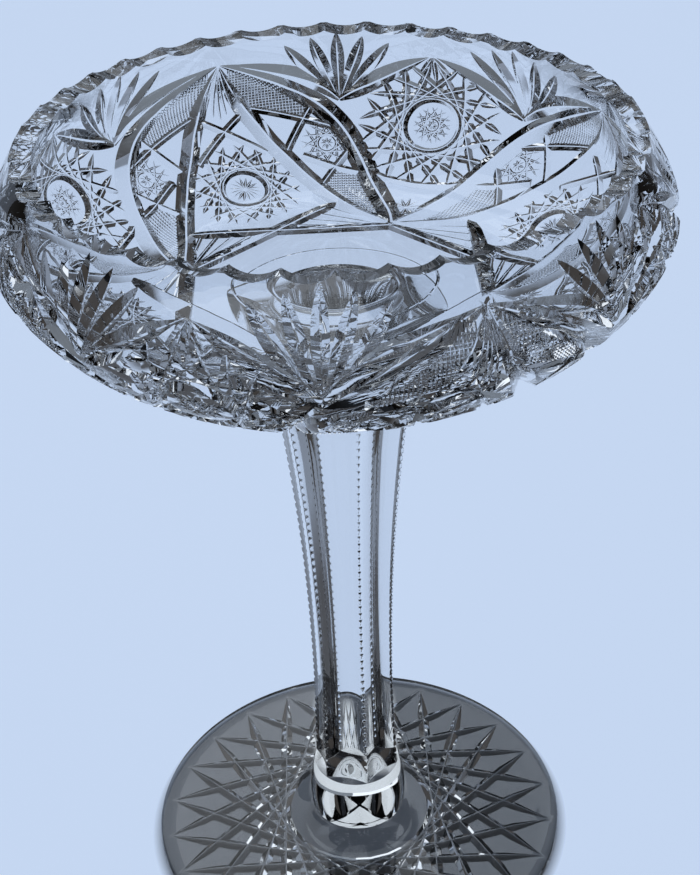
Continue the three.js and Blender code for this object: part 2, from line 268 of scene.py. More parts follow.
# Foot: a round disc of clear crystal with a low boss in the middle. Its underside is ground flat and
# cut with a star of long straight mitres, each from one point at the edge to another.
_, foot_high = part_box("foot")
foot_radius = foot_high.x
foot_top = foot_high.z
foot_edge = 4.5 * mm
edge_round = 1.2 * mm
boss_radius, boss_height = 26 * mm, 6.5 * mm
knop_foot_radius = 15.6 * mm
foot_columns = 192
star_points = 24
star_inner_radius = 25 * mm
star_edge_margin = 2 * mm
star_depth = 1.9 * mm
star_stops, star_run_out = 15, 0.12
clear_of_glass = 0.8 * mm
root_flat = 0.08
run_out_lift = 0.25 * mm
sharp_angle = np.radians(24)
lead_glass_index = 1.545
cloud_size, smear_size, swell_size, swell_height = 40 * mm, 9 * mm, 14 * mm, 0.2 * mm


def curve(start, first_bend, second_bend, end, count):
    """Points of a cubic curve: (1-t)^3 start + 3(1-t)^2 t first bend + 3(1-t)t^2 second bend + t^3 end."""
    t = np.linspace(0, 1, count)[:, None]
    shares = np.hstack([(1 - t) ** 3, 3 * (1 - t) ** 2 * t, 3 * (1 - t) * t ** 2, t ** 3])
    return shares @ np.array([start, first_bend, second_bend, end])


def skin(x, y, z):
    """A closed body from grids of places, one row a ring: its vertices, its quads between rings, and its
    triangles, a fan from the middle of the first ring and of the last, where the rings lie level."""
    rows, columns = x.shape
    places = np.stack([x, y, z], -1)
    poles = places[[0, -1]].mean(1)
    row, column = np.meshgrid(np.arange(rows - 1), np.arange(columns), indexing="ij")
    a = row * columns + column
    b = row * columns + (column + 1) % columns
    quads = np.stack([a, b, b + columns, a + columns], -1).reshape(-1, 4)
    k = np.arange(columns)
    k_next = (k + 1) % columns
    last = (rows - 1) * columns
    below = np.stack([np.full(columns, rows * columns), k_next, k], -1)
    above = np.stack([last + k, last + k_next, np.full(columns, rows * columns + 1)], -1)
    return np.vstack([places.reshape(-1, 3), poles]), [quads, np.vstack([below, above])]


def turned(outline, columns):
    """A turned body: x = r cos a and y = r sin a for each radius and height of the outline, which goes
    from near the axis below, up the outside, and back to near the axis."""
    angle = np.arange(columns) * 2 * np.pi / columns
    radius, height = outline[:, :1], outline[:, 1:]
    return skin(radius * np.cos(angle), radius * np.sin(angle), height + 0 * angle)


def level_in(outer, inner, height, count):
    """Outline points that run level from one radius to another, both left out."""
    radii = np.linspace(outer, inner, count + 2)[1:-1]
    return np.column_stack([radii, np.full(count, height)])


def mitre_bars(place, outward, depth):
    """Closed bars, one for each mitre cut, from grids of bars by stops. The upper edges are
    place + clear * outward, plus and minus half_width = (depth + clear) * sideways, where sideways is
    square to the way along and to outward. The root is place - depth * outward, with a narrow flat
    that polishing leaves, plus and minus root_flat * half_width. A long outward makes a steep cut."""
    bars, stops = depth.shape
    along = np.gradient(place, axis=1)
    sideways = np.cross(outward, along)
    sideways /= np.linalg.norm(sideways, axis=-1, keepdims=True)
    depth = depth[..., None]
    top = place + clear_of_glass * outward
    root = place - depth * outward
    half_width = (depth + clear_of_glass) * sideways
    flat = root_flat * half_width
    corners = np.stack([root + flat, root - flat, top - half_width, top + half_width], 2)
    bar, stop, corner = np.meshgrid(np.arange(bars), np.arange(stops - 1), np.arange(4), indexing="ij")
    a = (bar * stops + stop) * 4 + corner
    b = (bar * stops + stop) * 4 + (corner + 1) % 4
    sides = np.stack([a, a + 4, b + 4, b], -1).reshape(-1, 4)
    first = np.arange(bars)[:, None] * stops * 4
    last = first + (stops - 1) * 4
    ends = np.vstack([first + [0, 1, 2, 3], last + [0, 3, 2, 1]])
    return corners.reshape(-1, 3), [np.vstack([sides, ends])]


def joined(parts):
    """Several bodies' vertices and faces as one: each body's faces count on from the vertices before."""
    starts = np.cumsum([0] + [len(vertices) for vertices, _ in parts])
    lots = [lot + start for start, (_, own) in zip(starts, parts) for lot in own]
    return np.vstack([vertices for vertices, _ in parts]), lots


def cut(piece, layers):
    """Cuts each layer of bars out of a piece. The bars of one layer don't touch inside the glass."""
    cutters = [made_object("cutter", *joined(layer), []) for layer in layers]
    for cutter in cutters:
        wheel = piece.modifiers.new("wheel", "BOOLEAN")
        wheel.operation = "DIFFERENCE"
        wheel.solver = "MANIFOLD"
        wheel.object = cutter
    depsgraph = bpy.context.evaluated_depsgraph_get()
    finished = bpy.data.meshes.new_from_object(piece.evaluated_get(depsgraph))
    piece.modifiers.clear()
    piece.data = finished
    for cutter in cutters:
        bpy.data.objects.remove(cutter)


def polished(piece):
    """Smooth glass with crisp edges between facets."""
    piece.data.shade_smooth()
    piece.data.set_sharp_from_angle(angle=sharp_angle)


def fused(piece, height, reach):
    """Gives the level faces at this height, within this reach of the axis, the finish of a fused seam."""
    faces = piece.data.polygons
    centres = np.empty(len(faces) * 3)
    normals = np.empty(len(faces) * 3)
    slots = np.empty(len(faces), dtype=np.int32)
    faces.foreach_get("center", centres)
    faces.foreach_get("normal", normals)
    faces.foreach_get("material_index", slots)
    centres = centres.reshape(-1, 3)
    level_here = (np.abs(centres[:, 2] - height) < 0.01 * mm) & (np.abs(normals.reshape(-1, 3)[:, 2]) > 0.99)
    slots[level_here & (np.hypot(centres[:, 0], centres[:, 1]) < reach)] = 1
    faces.foreach_set("material_index", slots)


def crystal(name, tint, clouded, wear, ripple):
    """Clear lead crystal: its tint comes and goes in soft clouds, handling leaves the polish a little
    duller in places, and the surface has the faint swell of hand polishing."""
    glass = Finish(bpy.data.materials.new(name))
    cloud = glass.noise(cloud_size, 2)
    smears = glass.noise(smear_size, 3)
    swell = glass.noise(swell_size, 1)
    bump = glass.node("ShaderNodeBump", {}, {"Height": swell, "Strength": ripple, "Distance": swell_height})
    sockets = {
        "Base Color": glass.mixed(cloud, tint, clouded),
        "Roughness": smears * wear,
        "Normal": bump.outputs["Normal"],
        "IOR": lead_glass_index,
        "Transmission Weight": 1.0,
    }
    glass.surface(glass.node("ShaderNodeBsdfPrincipled", {}, sockets))
    return glass.owner


seam = Finish(bpy.data.materials.new("fused_seam"))
seam.surface(seam.node("ShaderNodeBsdfTransparent", {}, {"Color": (1, 1, 1, 1)}))

foot_glass = crystal("foot_crystal", (0.965, 0.98, 1.0, 1), (0.95, 0.97, 0.99, 1), 0.02, 0.15)

disc_radius, rounding = foot_radius - edge_round, 0.3 * edge_round
foot_outline = np.vstack([
    level_in(0, disc_radius, 0, 12),
    [[disc_radius, 0], [foot_radius - rounding, rounding], [foot_radius, edge_round]],
    [[foot_radius, foot_edge - edge_round], [foot_radius - rounding, foot_edge - rounding]],
    curve(
        (disc_radius, foot_edge),
        (foot_radius - 12 * mm, foot_edge + 0.4 * mm),
        (boss_radius + 12 * mm, boss_height - 0.5 * mm),
        (boss_radius, boss_height),
        14,
    ),
    curve(
        (boss_radius, boss_height),
        (boss_radius - 5.2 * mm, boss_height + 0.3 * mm),
        (knop_foot_radius + 2.6 * mm, foot_top - 1 * mm),
        (knop_foot_radius, foot_top),
        10,
    )[1:],
    level_in(knop_foot_radius, 0, foot_top, 2),
])
foot = made_object("foot_disc", *turned(foot_outline, foot_columns), [foot_glass, seam.owner])


def faded(width, fade):
    """Depth of a mitre with a right angle at its root: half its width, and just above the glass where
    it has faded out."""
    return width / 2 * fade - run_out_lift * (1 - fade)


# Each line of the star is straight, s along and r from the middle: x = r cos a - s sin a and
# y = r sin a + s cos a. Its stops stand closer together at its ends, where it runs out.
star_turns = np.arange(star_points) * 2 * np.pi / star_points
star_half = np.sqrt((foot_radius - star_edge_margin) ** 2 - star_inner_radius ** 2)
star_share = 0.5 - 0.5 * np.cos(np.linspace(0, np.pi, star_stops))
across = (2 * star_share - 1) * star_half
star_x = star_inner_radius * np.cos(star_turns)[:, None] - across * np.sin(star_turns)[:, None]
star_y = star_inner_radius * np.sin(star_turns)[:, None] + across * np.cos(star_turns)[:, None]
star_fade = np.clip(np.minimum(star_share, 1 - star_share) / star_run_out, 0, 1) + 0 * star_x
star_place = np.stack([star_x, star_y, 0 * star_x], -1)
star_outward = np.broadcast_to([0.0, 0.0, -1.0], star_place.shape)
star_depths = faded(2 * star_depth, star_fade)
star_layers = []
for line in range(star_points // 2):
    pair = [line, line + star_points // 2]
    star_layers.append([mitre_bars(star_place[pair], star_outward[pair], star_depths[pair])])
cut(foot, star_layers)
fused(foot, foot_top, knop_foot_radius)
polished(foot)
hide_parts("foot")
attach(foot, "root")


# Knop: the short clear swelling between the foot and the fluted stem, shaped hot and left uncut.
knop_low, knop_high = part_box("knop")
knop_radius = 16.4 * mm
stem_foot_radius = 14.1 * mm
flute_count = 6
flute_hollow = 0.08
ridge_turn = np.radians(43)
seat_share, seat_reach = 0.995, 0.8

near_ridge = np.array([1, 0.97, 0.94, 0.91, 0.88, 0.85, 0.82, 0.79, 0.75, 0.68, 0.58, 0.46, 0.32, 0.16])
across_shares = np.concatenate([-near_ridge, [0], near_ridge[:0:-1]])
column_count = flute_count * len(across_shares)


def fluted(radius, hollow):
    """Places round a fluted column, rows of radii by columns: between two ridges the way across is the
    chord less a hollow, radius * hollow * (1 - share^2), and the way along is share * half the chord."""
    half_turn = np.pi / flute_count
    share = np.tile(across_shares, flute_count)
    middle = np.repeat(np.arange(flute_count) * 2 * half_turn, len(across_shares)) + half_turn + ridge_turn
    along = share * radius * np.sin(half_turn)
    inward = radius * np.cos(half_turn) - hollow * radius * (1 - share ** 2)
    return inward * np.cos(middle) - along * np.sin(middle), inward * np.sin(middle) + along * np.cos(middle)


knop_glass = crystal("knop_crystal", (0.97, 0.985, 1.0, 1), (0.96, 0.975, 0.99, 1), 0.01, 0.3)

# The knop's top is round, and the stem stands on it in a seat with the stem's own fluted outline.
column_x, column_y = fluted(np.array([[stem_foot_radius]]), flute_hollow)
column_angle = np.arctan2(column_y, column_x)
knop_height = knop_high.z - knop_low.z
knop_swell = curve(
    (knop_foot_radius, knop_low.z),
    (knop_radius, knop_low.z + 0.3 * knop_height),
    (knop_radius, knop_low.z + 0.6 * knop_height),
    (stem_foot_radius, knop_high.z),
    24,
)
knop_rows = np.vstack([[[knop_foot_radius / 2, knop_low.z]], knop_swell])
knop_x = np.vstack([knop_rows[:, :1] * np.cos(column_angle), column_x * seat_share])
knop_y = np.vstack([knop_rows[:, :1] * np.sin(column_angle), column_y * seat_share])
knop_z = np.vstack([knop_rows[:, 1:] + 0 * column_angle, knop_high.z + 0 * column_angle])
knop = made_object("knop", *skin(knop_x, knop_y, knop_z), [knop_glass, seam.owner])
fused(knop, knop_low.z, knop_foot_radius)
fused(knop, knop_high.z, stem_foot_radius * seat_reach)
polished(knop)
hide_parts("knop")
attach(knop, "root")


# Stem: a solid column with six hollow flutes. The ridges between them are notched all the way up with
# a mitre wheel, so that each is a row of small points. It flares out under the bowl.
stem_low, stem_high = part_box("stem")
stem_waist_radius, stem_waist_height = 13.5 * mm, 36 * mm
stem_shoulder_radius, stem_shoulder_drop = 19.1 * mm, 33 * mm
stem_flare_radius, stem_flare_bend, stem_flare_edge = 35 * mm, 6 * mm, 2 * mm
flare_swell = 0.11
corner_room, corner_ground, corner_sharpness = 1.15, 0.155, 40
neck_radius = 20 * mm
notch_pitch = 2.8 * mm
notch_depth = 0.7 * mm
notched_from, notched_to = 3 * mm, 8 * mm

stem_lean = (stem_shoulder_radius - stem_waist_radius) / 3
waist = stem_low.z + stem_waist_height
shoulder = stem_high.z - stem_shoulder_drop
half_way = (shoulder - waist) / 2
stem_outline = np.vstack([
    curve(
        (stem_foot_radius, stem_low.z),
        (stem_foot_radius, stem_low.z + stem_waist_height / 3),
        (stem_waist_radius, waist - stem_waist_height / 3),
        (stem_waist_radius, waist),
        30,
    ),
    curve(
        (stem_waist_radius, waist),
        (stem_waist_radius, waist + half_way),
        (stem_shoulder_radius - stem_lean, shoulder - stem_shoulder_drop / 2),
        (stem_shoulder_radius, shoulder),
        40,
    )[1:],
    curve(
        (stem_shoulder_radius, shoulder),
        (stem_shoulder_radius + stem_lean, shoulder + stem_shoulder_drop / 2),
        (stem_shoulder_radius + 2 * stem_lean, stem_high.z - stem_flare_edge - stem_flare_bend),
        (stem_flare_radius, stem_high.z - stem_flare_edge),
        50,
    )[1:],
])
notch_count = int((stem_high.z - stem_low.z - notched_from - notched_to) / notch_pitch)
notch_middles = stem_low.z + notched_from + (np.arange(notch_count) + 0.5) * notch_pitch
in_a_notch = np.array([-1, -0.5, 0, 0.5, 1, 2]) * notch_depth
outline_rows = stem_outline[:, 1]
stem_rows = np.concatenate([
    [stem_low.z, stem_low.z + notched_from / 2],
    (notch_middles[:, None] + in_a_notch).ravel(),
    outline_rows[outline_rows > notch_middles[-1] + 2 * notch_pitch / 3],
    [stem_high.z - stem_flare_edge / 2, stem_high.z],
])
stem_radius = np.interp(stem_rows, stem_outline[:, 1], stem_outline[:, 0])[:, None]
flared = np.clip((stem_radius - stem_shoulder_radius) / (stem_flare_radius - stem_shoulder_radius), 0, 1)
stem_x, stem_y = fluted(stem_radius, flute_hollow - flare_swell * flared)
notch_gap = np.abs(stem_rows[:, None] - notch_middles).min(1)
notch = np.clip(notch_depth - notch_gap, 0, None)[:, None]
ridge_step = 2 * np.pi / flute_count
ridge = np.round((np.arctan2(stem_y, stem_x) - ridge_turn) / ridge_step) * ridge_step + ridge_turn
out_along_ridge = stem_x * np.cos(ridge) + stem_y * np.sin(ridge)
ground_off = np.where(notch > 0, np.clip(out_along_ridge - (stem_radius - notch), 0, None), 0)
stem_x = stem_x - ground_off * np.cos(ridge)
stem_y = stem_y - ground_off * np.sin(ridge)

# The flare's corners are ground round: its distance from the axis d becomes d * c / (d^n + c^n)^(1/n),
# which keeps to the smaller of d and a circle c. Its flat top ends in a round seam.
from_axis = np.hypot(stem_x, stem_y)
circle = stem_radius * (corner_room - corner_ground * flared)
rounded = (1 + (from_axis / circle) ** corner_sharpness) ** (-1 / corner_sharpness)
seam_turn = ridge_turn + np.arange(column_count) * 2 * np.pi / column_count
stem_x = np.vstack([stem_x * rounded, neck_radius * np.cos(seam_turn)])
stem_y = np.vstack([stem_y * rounded, neck_radius * np.sin(seam_turn)])
stem_z = np.append(stem_rows, stem_high.z)[:, None] + 0 * stem_x
stem_glass = crystal("stem_crystal", (0.96, 0.975, 0.99, 1), (0.94, 0.955, 0.975, 1), 0.015, 0.15)
stem = made_object("stem", *skin(stem_x, stem_y, stem_z), [stem_glass, seam.owner])
fused(stem, stem_low.z, stem_foot_radius)
fused(stem, stem_high.z, neck_radius)
polished(stem)
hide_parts("stem")
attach(stem, "root")


# Wafer: the short waisted neck of glass that was gathered between the stem's flared top and the bowl
# while both were hot. Both of its faces are fused.
wafer_low, wafer_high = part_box("bowl_wafer")
wafer_waist_radius = 17 * mm

wafer_third = (wafer_high.z - wafer_low.z) / 3
wafer_side = curve(
    (neck_radius, wafer_low.z),
    (wafer_waist_radius, wafer_low.z + wafer_third),
    (wafer_waist_radius, wafer_high.z - wafer_third),
    (neck_radius, wafer_high.z),
    20,
)
wafer_outline = np.vstack([[[neck_radius / 2, wafer_low.z]], wafer_side, [[neck_radius / 2, wafer_high.z]]])
wafer_glass = crystal("wafer_crystal", (0.97, 0.985, 1.0, 1), (0.96, 0.975, 0.99, 1), 0.01, 0.3)
wafer = made_object("bowl_wafer", *turned(wafer_outline, column_count), [wafer_glass, seam.owner])
fused(wafer, wafer_low.z, neck_radius)
fused(wafer, wafer_high.z, neck_radius)
polished(wafer)
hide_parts("bowl_wafer")
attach(wafer, "root")


# Bowl: a thick blown blank of lead crystal, round and smooth inside. Everything outside is cut with
# mitre wheels and polished: scallops on the rim, long arcs, fans, hobstars and crosshatched fields.
bowl_base = wafer_high.z
rim_height = bowl_base + 56 * mm
rim_radius, rim_wall = 85 * mm, 6 * mm
bulge_radius, bulge_drop = 94.55 * mm, 22.2 * mm
base_radius, base_undercut = 55 * mm, 0.3
wall, floor_thickness = 8.5 * mm, 8.5 * mm
floor_radius, floor_undercut = 49 * mm, 0.34
pontil_radius, pontil_groove = 30 * mm, 0.25 * mm
blank_columns = 240
bulge_height = rim_height - bulge_drop
floor_height = bowl_base + floor_thickness

# The wall's curves bend at these shares of the bulge and its drop, and of the way in to the floor.
rim_lean, rim_bend, bulge_bend, floor_bend = 0.34, 0.3, 0.36, 0.507
upper_steps, lower_steps = 500, 900


def wall_outline(rim, bulge, foot_of_wall, undercut, upper_count, lower_count):
    """Half of a bowl's outline, from the rim out to the bulge and in to where the wall meets a flat."""
    lean = rim_lean * (bulge - rim)
    radius, height = foot_of_wall
    upper = curve(
        (rim, rim_height),
        (rim + lean, rim_height - rim_bend * bulge_drop),
        (bulge, bulge_height + bulge_bend * bulge_drop),
        (bulge, bulge_height),
        upper_count,
    )
    lower = curve(
        (bulge, bulge_height),
        (bulge, bulge_height - undercut * (bulge_height - height)),
        (radius + floor_bend * (bulge - radius), height),
        foot_of_wall,
        lower_count,
    )
    return np.vstack([upper, lower[1:]])


outside = (rim_radius, bulge_radius, (base_radius, bowl_base), base_undercut)
inside = (rim_radius - rim_wall, bulge_radius - wall, (floor_radius, floor_height), floor_undercut)
groove_inner, groove_outer = pontil_radius - 2 * pontil_groove, pontil_radius + 2 * pontil_groove
bowl_outline = np.vstack([
    level_in(0, neck_radius, bowl_base, 1),
    [[neck_radius, bowl_base]],
    level_in(neck_radius, groove_inner, bowl_base, 1),
    [[groove_inner, bowl_base], [pontil_radius, bowl_base + pontil_groove], [groove_outer, bowl_base]],
    level_in(groove_outer, base_radius, bowl_base, 4),
    wall_outline(*outside, 14, 34)[::-1],
    wall_outline(*inside, 10, 22),
    level_in(floor_radius, 0, floor_height, 5),
])
fine_wall = np.vstack([wall_outline(*outside, upper_steps, lower_steps), [[0, bowl_base]]])
wall_radius, wall_height = fine_wall.T
down_the_wall = np.r_[0, np.cumsum(np.hypot(*np.diff(fine_wall, axis=0).T))]
bowl_glass = crystal("bowl_crystal", (0.97, 0.983, 1.0, 1), (0.955, 0.97, 0.99, 1), 0.012, 0.12)
bowl = made_object("bowl", *turned(bowl_outline, blank_columns), [bowl_glass, seam.owner])


def on_bowl(turn, drop):
    """Places on the bowl's outside, and the way out of the glass there, from a turn in degrees and a
    drop, which is the way down the outline from the rim: the outline is turned to that angle."""
    step = 0.1 * mm
    radius, height = (np.interp(drop, down_the_wall, way) for way in (wall_radius, wall_height))
    ahead_r, ahead_z = (
        np.interp(drop + step, down_the_wall, way) - np.interp(drop - step, down_the_wall, way)
        for way in (wall_radius, wall_height)
    )
    length = np.hypot(ahead_r, ahead_z)
    c, s = np.cos(np.radians(turn)), np.sin(np.radians(turn))
    place = np.stack([radius * c, radius * s, height], -1)
    outward = np.stack([-ahead_z * c, -ahead_z * s, ahead_r], -1) / length[..., None]
    return place, outward


def smooth_line(corners, count):
    """A smooth line through corners: for each stretch, half of 2b + (c-a)t + (2a-5b+4c-d)t^2 +
    (3b-a-3c+d)t^3, where b and c are its ends and a and d the corners before and after."""
    corners = np.array(corners, float)
    ends = np.vstack([2 * corners[0] - corners[1], corners, 2 * corners[-1] - corners[-2]])
    way = np.linspace(0, len(corners) - 1, count)
    stretch = np.minimum(way.astype(int), len(corners) - 2)
    t = (way - stretch)[:, None]
    a, b, c, d = (ends[stretch + k] for k in range(4))
    squared, cubed = 2 * a - 5 * b + 4 * c - d, 3 * b - a - 3 * c + d
    return 0.5 * (2 * b + (c - a) * t + squared * t ** 2 + cubed * t ** 3)


def full(share):
    """A cut whose two ends lie in other cuts: 1 all the way."""
    return np.ones_like(share)


def from_a_point(share):
    """A cut that swells from a long point at its start and meets another at its end: (share / 0.2)^0.8,
    and 1 from 0.2 on."""
    return np.clip(share / 0.2, 0, 1) ** 0.8


def to_a_point(share):
    """A cut that starts in another and runs out at its end: 1, and over the last 0.12 the root of
    (1 - share) / 0.12."""
    return np.clip((1 - share) / 0.12, 0, 1) ** 0.5


def lens(share):
    """A cut that runs out at both ends, as a round wheel leaves the glass: root of 1 - (2 share - 1)^2."""
    return np.sqrt(np.clip(1 - (2 * share - 1) ** 2, 0, 1))


def blunt(share):
    """A cut that keeps its depth nearly to both ends: 1 - (2 share - 1)^8."""
    return np.clip(1 - (2 * share - 1) ** 8, 0, 1)


def leaf(share):
    """A short broad cut with a long point at its start, widest past its middle and still open at its
    end: sin(pi * (0.93 share)^1.15)."""
    return np.sin(np.pi * np.clip(0.93 * share, 0, 1) ** 1.15)


def blade(share):
    """A fan's blade, from its tip to the fan's root, widest before its middle: sin(pi * share^0.75)."""
    return np.sin(np.pi * share ** 0.75)


def routes(turn, drop, width, fade, spots):
    """One mitre at each spot, which is the turn of a motif's middle and a side, 1 or -1: its places, ways
    out and depths, from turns in degrees from the middle and drops in millimetres."""
    depth = faded(width * mm, fade(np.linspace(0, 1, len(turn))))
    made = []
    for middle, side in spots:
        place, outward = on_bowl(middle + side * turn, drop * mm)
        made.append((place, outward, depth))
    return made


def curved(corners, width, fade, spots, count):
    """Mitres along a smooth line through corners, each a turn and a drop."""
    return routes(*smooth_line(corners, count).T, width, fade, spots)


def level_line(start, end, count):
    """Turns and drops of a line low on the bowl that is straight when it is seen from below: x and y run
    evenly between its two ends, and the turn and the drop come from them."""
    ends = np.array([start, end], float)
    radius = np.interp(ends[:, 1] * mm, down_the_wall, wall_radius)
    angle = np.radians(ends[:, 0])
    x = np.linspace(*(radius * np.cos(angle)), count)
    y = np.linspace(*(radius * np.sin(angle)), count)
    lower = slice(upper_steps, None)
    drop = np.interp(-np.hypot(x, y), -wall_radius[lower], down_the_wall[lower]) / mm
    return np.degrees(np.arctan2(y, x)), drop


def flat(centre, x, y, width, fade, spots):
    """Mitres laid out flat round a motif's centre, x millimetres round and y down: the drop is the
    centre's plus y, and the turn is x over the radius there."""
    drop = centre[1] + y
    radius = np.interp(drop * mm, down_the_wall, wall_radius) / mm
    return routes(centre[0] + np.degrees(x / radius), drop, width, fade, spots)


def chords(centre, count, distance, half_length, width, fade, spots):
    """A star of straight mitres that all pass a motif's centre at one distance, turned evenly: for each
    angle a, x = distance * sin a + s * cos a and y = distance * cos a - s * sin a. Long ones have more
    stops, to follow the bowl's wall."""
    stops = 11 if half_length > 12 else 5
    s = np.linspace(-half_length, half_length, stops)
    made = []
    for a in np.arange(count) * (2 if distance else 1) * np.pi / count:
        x = distance * np.sin(a) + s * np.cos(a)
        y = distance * np.cos(a) - s * np.sin(a)
        made += flat(centre, x, y, width, fade, spots)
    return made


def ring(centre, radius, width, steepness, spots):
    """A round mitre about a motif's centre, in two halves: x = radius * sin a and y = radius * cos a."""
    made = []
    for start in (0, np.pi):
        a = np.linspace(start, start + np.pi, 25)
        made += flat(centre, radius * np.sin(a), radius * np.cos(a), width, full, spots)
    return [(place, steepness * outward, depth) for place, outward, depth in made]


# The cutting plan, as turns in degrees from an apex and drops in millimetres from the rim. Apexes of
# two kinds take turns round the bowl; long arcs fall both ways from the first kind to the octagon.
first_apexes = [(22.5 + 90 * k, 1) for k in range(4)]
second_apexes = [(67.5 + 90 * k, 1) for k in range(4)]
beside_first = [(turn, side) for turn, _ in first_apexes for side in (1, -1)]
beside_second = [(turn, side) for turn, _ in second_apexes for side in (1, -1)]
fans = [(turn + 25 * side, side) for turn, side in beside_first]
octagon_radius = 46.9
octagon_drop = down_the_wall[-1] / mm - octagon_radius
arc_start, arc_end = (0, 11), (45, octagon_drop)
upper_bends = [(6, 15.5), (12, 21.2), (18, 29), (22, 34.8), (26, 42.5), (30, 53.3), (34.5, 66)]
lower_bends = [(2.8, 22), (5, 31), (7.3, 38), (9.7, 45), (12.9, 52), (16.8, 60), (23.6, 71), (32, 80.5)]
upper_arc, lower_arc = [arc_start, *upper_bends, arc_end], [arc_start, *lower_bends, arc_end]
upper_turns, upper_drops = smooth_line(upper_arc, 300).T
lower_turns, lower_drops = smooth_line(lower_arc, 300).T

mitres = curved(upper_arc, 8, from_a_point, beside_first, 64)
mitres += curved(lower_arc, 6.4, from_a_point, beside_first, 64)
mitres += curved([arc_start, (8.4, 15), (16.2, 19.7), (21, 24.4), (25, 31)], 7.4, leaf, beside_first, 24)
mitres += curved([arc_start, (6.8, 16.9), (15.2, 25.8), (20, 31)], 7.4, leaf, beside_second, 24)
fan_root, fan_tips = (0, 31.5), ((-11.2, 6), (-5.6, 3.4), (0, 1.6), (5.6, 3.4), (11.2, 6))
for tip in fan_tips:
    mitres += curved([tip, np.add(tip, fan_root) / 2, fan_root], 4.4, blade, fans, 16)

# The octagon round the floor: straight mitres that cross below each apex of the first kind and run on.
# The wheel cut them steeply, leaning out, so that their inner flanks stand almost upright.
octagon_corner, overrun_end, overrun_before = (0, octagon_drop), (24.8, 72), (-24.8, 72)
octagon_width, octagon_steepness, octagon_lean = 5, 1.78, 0.83
octagon_side = level_line(arc_end, overrun_before, 40)
for place, outward, depth in routes(*octagon_side, octagon_width, to_a_point, beside_first):
    level_out = place * [1, 1, 0]
    level_out /= np.linalg.norm(level_out, axis=1, keepdims=True)
    mitres.append((place, octagon_steepness * outward + octagon_lean * level_out, depth))

# Crosses of narrow mitres in each leaf between two arcs and below each first apex, a bar under each
# big hobstar, and sprays of fine rays below the apexes
mitres += curved([(4.9, 30.6), (17.3, 37.4), (26, 42.3)], 2.8, full, beside_first, 14)
mitres += curved([(12, 50.5), (19.7, 31.3)], 2.8, full, beside_first, 14)
mitres += curved([(27.9, 47.6), (19.7, 64.7)], 2.8, full, beside_first, 14)
mitres += curved([(-5.2, 32.2), (8.2, 48.1)], 2.6, full, beside_first, 14)
half_bar = [(-28.8, 51), (-19.5, 57), (-11, 59.5), (-8, 60.8), (0, 62.3)]
star_bar = half_bar + [(-turn, drop) for turn, drop in half_bar[-2::-1]]
mitres += curved(star_bar, 3.2, full, second_apexes, 60)
for ray_end in ((-3, 31), (-1.5, 33.5), (0, 35), (1.5, 33.5), (3, 31)):
    mitres += curved([(0, 12), ray_end], 1.3, lens, first_apexes, 12)
for ray_end in ((-3.4, 20), (0, 23), (3.4, 20)):
    mitres += curved([(0, 11.5), ray_end], 1.8, lens, second_apexes, 10)
for spot in np.transpose(level_line(octagon_corner, overrun_end, 6))[1:-1]:
    mitres += routes(*level_line(arc_end, spot, 12), 1.4, full, beside_first)

# Hobstars and small stars
big_star, small_star, leaf_star, low_star = (0, 39.1), (0, 61.1), (22, 46.7), (0, 74.5)
mitres += chords(big_star, 16, 10.4, 23.5, 2.6, blunt, second_apexes)
mitres += ring(big_star, 9.6, 2.6, 2.2, second_apexes)
mitres += chords(big_star, 12, 2.4, 7.6, 0.9, lens, second_apexes)
mitres += chords(big_star, 4, 0, 2.4, 0.9, lens, second_apexes)
mitres += chords(small_star, 16, 8.4, 16.5, 2.3, blunt, first_apexes)
mitres += ring(small_star, 7.6, 2.2, 2.2, first_apexes)
mitres += chords(small_star, 8, 0, 6.4, 1.0, lens, first_apexes)
mitres += chords(leaf_star, 12, 3.1, 10.2, 0.9, lens, beside_first)
mitres += chords(leaf_star, 4, 0, 3, 0.8, lens, beside_first)
mitres += chords(low_star, 6, 0, 6.8, 1.2, lens, second_apexes)

# Crosshatching: fine mitres along and down the bowl, side by side, in both ends of each leaf. The upper
# field ends at the arms of the first cross, and the lower one at the second cross and at the bar.
hatch_pitch, hatch_width = 1.1, 0.8
upper_turn_pitch, lower_turn_pitch = 0.68, 0.95
shortest_row, shortest_column = 1, 1.6
bar_turns, bar_drops = np.add(half_bar[:4], (45, 0)).T
# An arm of a cross: a turn and a drop on it, and how far it drops in one degree
along_first, down_first, down_second = (8.2, 32.4, 0.553), (13.7, 46.3, -2.5), (28.7, 45.9, -2.08)


def turn_on(arm, drop):
    """The turn at which an arm has a drop: turn = its turn + (drop - its drop) / its slope."""
    return arm[0] + (drop - arm[1]) / arm[2]


def drop_on(arm, turn):
    """The drop that an arm has at a turn: drop = its drop + its slope * (turn - its turn)."""
    return arm[1] + arm[2] * (turn - arm[0])


def row_in_leaf(drop):
    """The turns where a row meets the leaf's two arcs, read off the arcs."""
    return np.interp(drop, lower_drops, lower_turns), np.interp(drop, upper_drops, upper_turns)


def column_in_leaf(turn):
    """The drops where a column meets the leaf's two arcs, read off the arcs."""
    return np.interp(turn, upper_turns, upper_drops), np.interp(turn, lower_turns, lower_drops)


def upper_row(drop):
    """From the lower arc or the first cross's long arm to the upper arc or its short arm."""
    start, end = row_in_leaf(drop)
    return max(start, turn_on(along_first, drop)), min(end, turn_on(down_first, drop))


def upper_column(turn):
    """From the upper arc to whichever comes first of the lower arc and the first cross's arms."""
    start, end = column_in_leaf(turn)
    return start, min(end, drop_on(along_first, turn), drop_on(down_first, turn))


def lower_row(drop):
    """From the lower arc or the second cross's arm to the upper arc or the bar."""
    start, end = row_in_leaf(drop)
    return max(start, turn_on(down_second, drop)), min(end, np.interp(drop, bar_drops, bar_turns))


